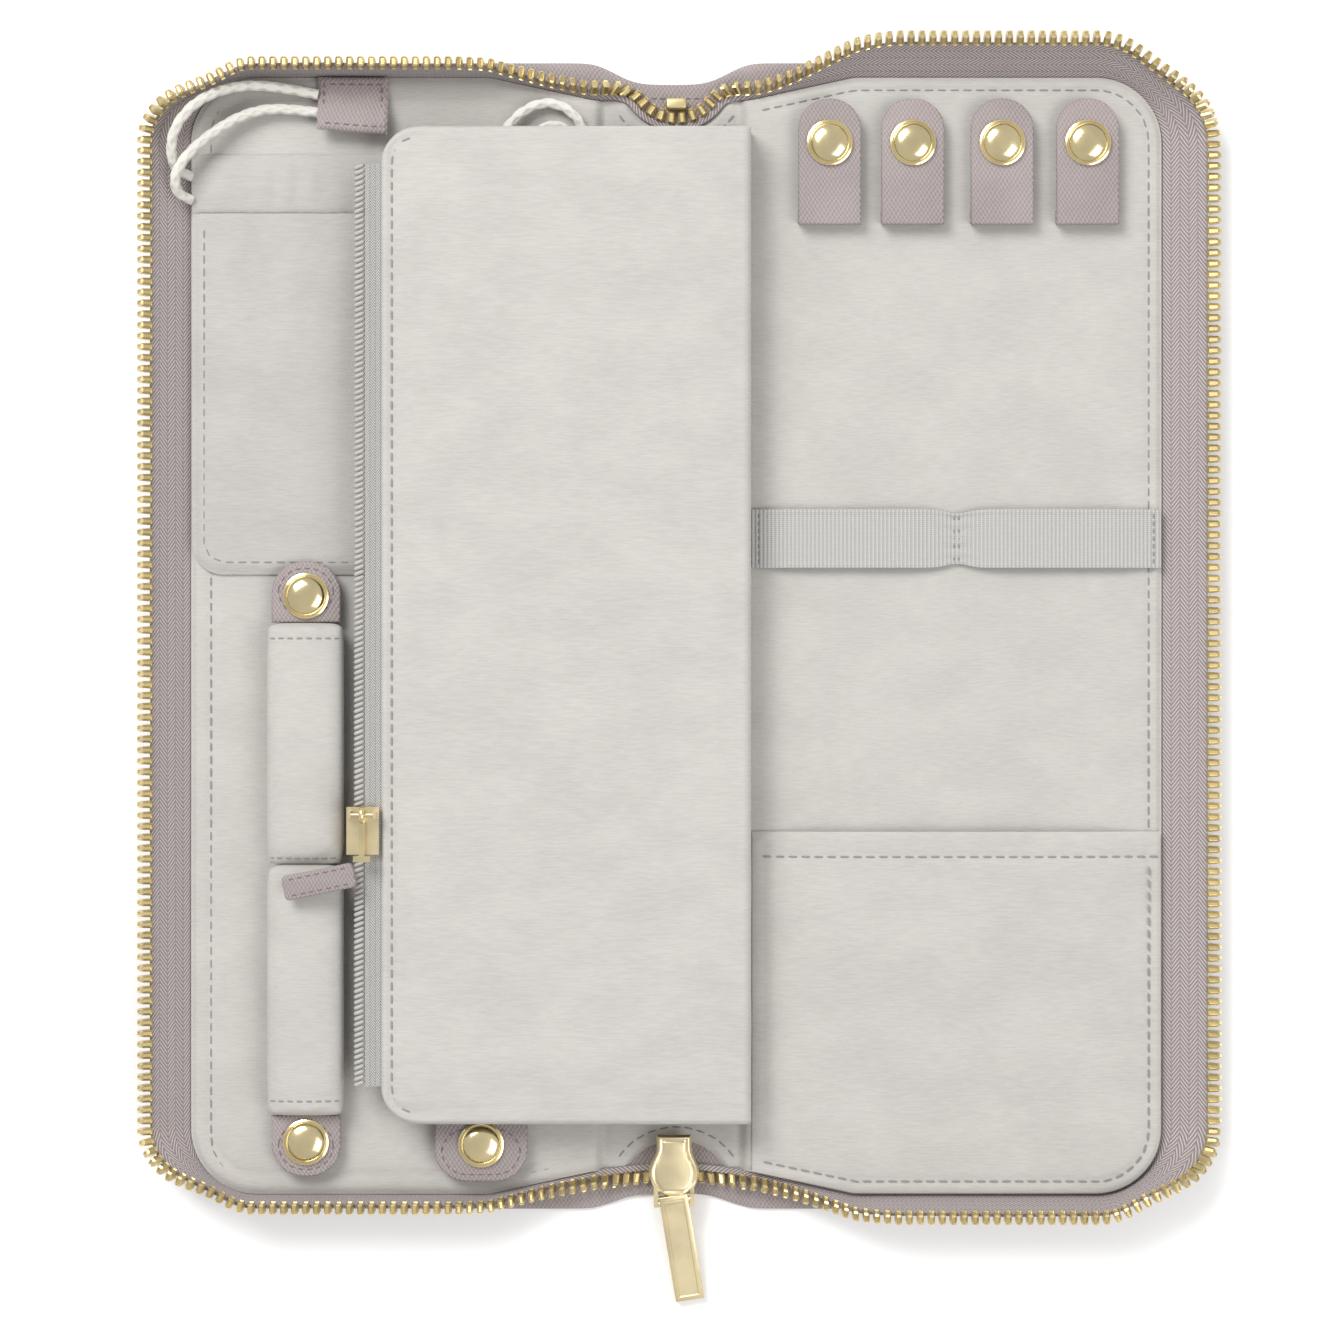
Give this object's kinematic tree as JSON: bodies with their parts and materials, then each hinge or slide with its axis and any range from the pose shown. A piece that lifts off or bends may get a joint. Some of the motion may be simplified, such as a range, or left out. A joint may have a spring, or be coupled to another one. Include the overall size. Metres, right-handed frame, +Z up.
{
  "type": "travel jewelry case",
  "caption": "Soft zip-around jewelry case lying open: two padded covers on a folding spine, a zipped page, snap tabs, ring bar, drawstring pouch and pocket.",
  "frame": {"origin": "middle of the spine's underside, on the surface the open case lies on", "axes": "+Z up out of the open case, +Y towards the top edge, +X towards the cover with the necklace tabs"},
  "size_m": [0.2299, 0.2696, 0.0184],
  "materials": {
    "mauve_leather": "cross-grain, satin",
    "grey_lining": "brushed velvet",
    "mauve_tape": "herringbone weave",
    "gold_metal": "pale gold, polished",
    "stiff_board": "raw board",
    "elastic": "ribbed elastic",
    "white_cord": "braided cotton",
    "grey_zip_tape": "herringbone weave",
    "grey_coil": "nylon coil"
  },
  "bodies": {
    "right_cover": {"right_cover_leather": "mauve_leather", "right_cover_board": "stiff_board", "right_lining": "grey_lining", "right_zip_tape": "mauve_tape", "right_zip_teeth": "gold_metal", "elastic_band": "elastic", "bottom_pocket": "grey_lining", "necklace_tab_anchors": "mauve_leather", "necklace_studs": "gold_metal", "leaf_stand_strip": "grey_lining"},
    "spine": {"spine_leather": "mauve_leather", "spine_lining": "grey_lining", "spine_tape_top": "mauve_tape", "spine_teeth_top": "gold_metal", "zip_top_stop": "gold_metal", "spine_tape_bottom": "mauve_tape", "spine_teeth_bottom": "gold_metal", "main_slider_body": "gold_metal", "main_slider_cap": "gold_metal", "main_slider_pin": "gold_metal"},
    "slider_pull": {"main_slider_pull": "gold_metal"},
    "left_cover": {"left_cover_leather": "mauve_leather", "left_cover_board": "stiff_board", "left_lining": "grey_lining", "left_zip_tape": "mauve_tape", "left_zip_teeth": "gold_metal", "drawstring_pouch": "grey_lining", "pouch_channel": "grey_lining", "cord_keeper": "mauve_leather", "drawcord_outer": "white_cord", "drawcord_inner": "white_cord", "drawcord_loop": "white_cord", "ring_bar_middle": "grey_lining", "bracelet_strap": "grey_lining", "left_studs": "gold_metal"},
    "bar_upper": {"ring_bar_upper": "grey_lining", "ring_bar_upper_tab": "mauve_leather", "ring_bar_upper_snap": "gold_metal"},
    "bar_lower": {"ring_bar_lower": "grey_lining", "ring_bar_lower_tab": "mauve_leather", "ring_bar_lower_snap": "gold_metal"},
    "bracelet_end": {"bracelet_tab": "mauve_leather", "bracelet_snap": "gold_metal"},
    "binding": {"leaf_binding": "grey_lining"},
    "leaf": {"leaf_front": "grey_lining", "leaf_back": "grey_lining", "leaf_edge_seam": "grey_lining", "leaf_zip_tapes": "grey_zip_tape", "leaf_zip_coil": "grey_coil"},
    "leaf_slider": {"leaf_slider": "gold_metal"},
    "leaf_pull": {"leaf_pull_link": "gold_metal", "leaf_pull": "mauve_leather"},
    "tab_1": {"necklace_tab_1": "mauve_leather", "necklace_snap_1": "gold_metal"},
    "tab_2": {"necklace_tab_2": "mauve_leather", "necklace_snap_2": "gold_metal"},
    "tab_3": {"necklace_tab_3": "mauve_leather", "necklace_snap_3": "gold_metal"},
    "tab_4": {"necklace_tab_4": "mauve_leather", "necklace_snap_4": "gold_metal"}
  },
  "joints": [
    {"name": "spine_fold", "type": "hinge", "parent": "right_cover", "child": "spine", "pos_m": [0.014, 0, 0.0005], "axis": [0, 1, 0], "range_deg": [0, 90]},
    {"name": "cover_fold", "type": "hinge", "parent": "spine", "child": "left_cover", "pos_m": [-0.015, 0, 0.0005], "axis": [0, 1, 0], "range_deg": [0, 90]},
    {"name": "binding_fold", "type": "hinge", "parent": "right_cover", "child": "binding", "pos_m": [0.016, 0, 0.012], "axis": [0, 1, 0], "range_deg": [0, 180]},
    {"name": "leaf_turn", "type": "hinge", "parent": "binding", "child": "leaf", "pos_m": [0.004, 0, 0.014], "axis": [0, -1, 0], "range_deg": [-168, 0]},
    {"name": "leaf_zip_run", "type": "slide", "parent": "leaf", "child": "leaf_slider", "axis": [0, 1, 0], "range_m": [-0.0477, 0.1339]},
    {"name": "leaf_pull_swing", "type": "hinge", "parent": "leaf_slider", "child": "leaf_pull", "pos_m": [-0.0652, -0.0375, 0.0165], "axis": [1, 0, 0], "range_deg": [-120, 0]},
    {"name": "slider_pull_swing", "type": "hinge", "parent": "spine", "child": "slider_pull", "pos_m": [0, -0.1198, 0.0054], "axis": [0.9877, 0.1564, 0], "range_deg": [-120, 0]},
    {"name": "ring_bar_upper_lift", "type": "hinge", "parent": "left_cover", "child": "bar_upper", "pos_m": [-0.0778, -0.0381, 0.0112], "axis": [-1, 0, 0], "range_deg": [-70, 0]},
    {"name": "ring_bar_lower_lift", "type": "hinge", "parent": "left_cover", "child": "bar_lower", "pos_m": [-0.0778, -0.0563, 0.0112], "axis": [1, 0, 0], "range_deg": [-70, 0]},
    {"name": "bracelet_tab_lift", "type": "hinge", "parent": "left_cover", "child": "bracelet_end", "pos_m": [-0.0408, -0.1028, 0.0061], "axis": [1, 0, 0], "range_deg": [-40, 0]},
    {"name": "necklace_tab_1_lift", "type": "hinge", "parent": "right_cover", "child": "tab_1", "pos_m": [0.0329, 0.087, 0.0061], "axis": [1, 0, 0], "range_deg": [0, 176]},
    {"name": "necklace_tab_2_lift", "type": "hinge", "parent": "right_cover", "child": "tab_2", "pos_m": [0.0505, 0.087, 0.0061], "axis": [1, 0, 0], "range_deg": [0, 176]},
    {"name": "necklace_tab_3_lift", "type": "hinge", "parent": "right_cover", "child": "tab_3", "pos_m": [0.0694, 0.087, 0.0061], "axis": [1, 0, 0], "range_deg": [0, 176]},
    {"name": "necklace_tab_4_lift", "type": "hinge", "parent": "right_cover", "child": "tab_4", "pos_m": [0.0875, 0.087, 0.0061], "axis": [1, 0, 0], "range_deg": [0, 176]}
  ],
  "couplings": [
    {"joint": "cover_fold", "follows": "spine_fold", "ratio": 1},
    {"joint": "binding_fold", "follows": "spine_fold", "ratio": 2}
  ]
}
